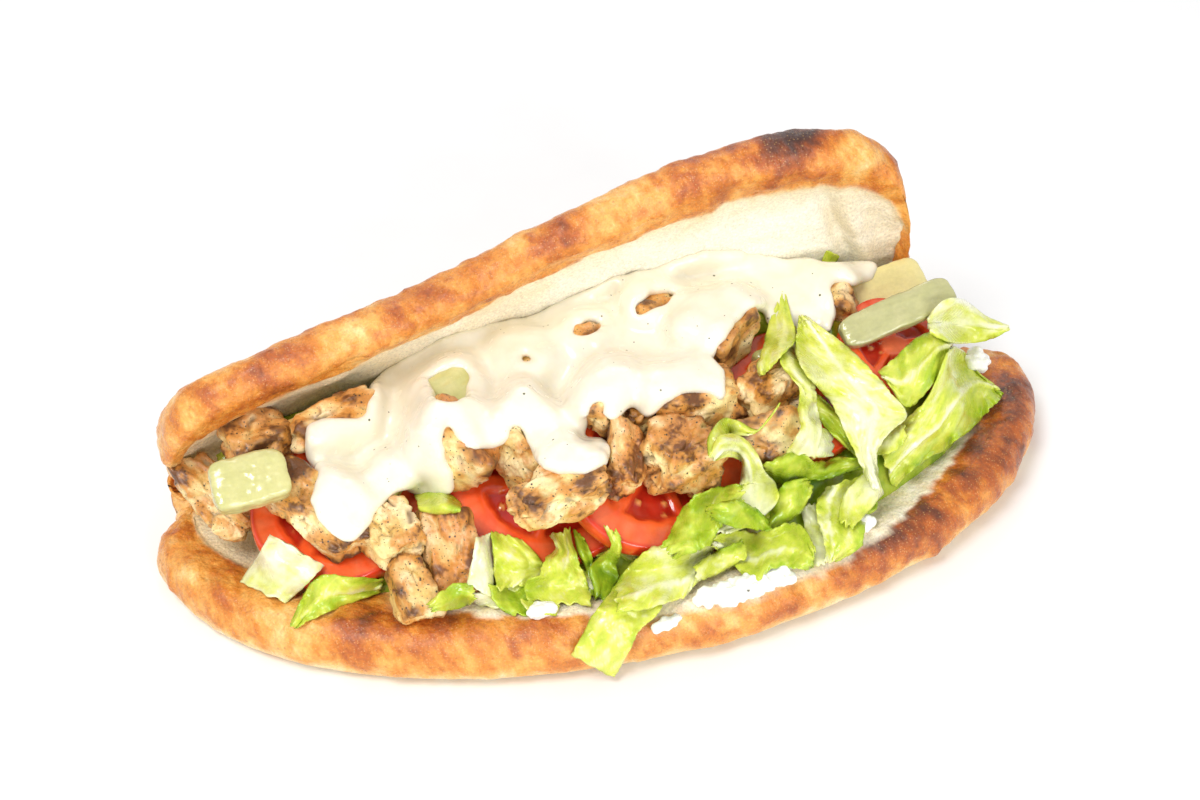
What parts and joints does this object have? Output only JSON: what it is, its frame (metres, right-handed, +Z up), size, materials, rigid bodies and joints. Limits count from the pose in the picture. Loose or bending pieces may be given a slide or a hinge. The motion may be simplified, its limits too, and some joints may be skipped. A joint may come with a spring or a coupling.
{
  "type": "doner kebab sandwich",
  "caption": "Oval flatbread folded over chicken pieces, tomato, pickle, lettuce and a pale herb sauce, lying open at the front as a prepared hand-held meal.",
  "frame": {"origin": "point on the bread's flat underside, near the middle of the fold's front", "axes": "+X along the bread to its tall end, +Y towards the fold at the back, +Z up from the table"},
  "size_m": [0.2823, 0.1317, 0.1052],
  "materials": {
    "crust": "baked golden-brown crust with darker blisters, pale crumb on the inner face",
    "meat": "roast chicken, tan with dark char and herb specks",
    "tomato": "wet red tomato flesh and skin",
    "pickle": "wet pale olive green",
    "lettuce": "fresh leaf, pale ribs to bright green blades",
    "sauce": "glossy ivory white sauce with fine dark flecks",
    "curd": "crumbly white soft cheese"
  },
  "bodies": {
    "root": {"bread": "crust", "chicken_back_left": "meat", "chicken_back_mid": "meat", "chicken_back_right": "meat", "chicken_big": "meat", "chicken_big_end": "meat", "chicken_crescent": "meat", "chicken_dark_front": "meat", "chicken_fibre_low": "meat", "chicken_fibre_top": "meat", "chicken_hollow": "meat", "chicken_left": "meat", "chicken_mid": "meat", "chicken_red_side": "meat", "chicken_right_low": "meat", "chicken_right_top": "meat", "chicken_sauced": "meat", "chicken_small_red": "meat", "chicken_tail": "meat", "chicken_upright": "meat", "chicken_wall_far": "meat", "chicken_wall_left": "meat", "chicken_wall_mid": "meat", "curd_bit_left": "curd", "curd_bit_right": "curd", "curd_chip": "curd", "curd_front": "curd", "curd_right": "curd", "leaf_curl": "lettuce", "leaf_rim_strip": "lettuce", "leaf_square_rib": "lettuce", "leaf_tip_left": "lettuce", "lettuce_heap": "lettuce", "pickle_bit_left": "pickle", "pickle_bit_right": "pickle", "pickle_block": "pickle", "pickle_pale": "pickle", "pickle_slice_end": "pickle", "pickle_slice_long": "pickle", "sauce": "sauce", "tomato_end": "tomato", "tomato_far": "tomato", "tomato_left": "tomato", "tomato_mid": "tomato", "tomato_right": "tomato"}
  },
  "joints": []
}
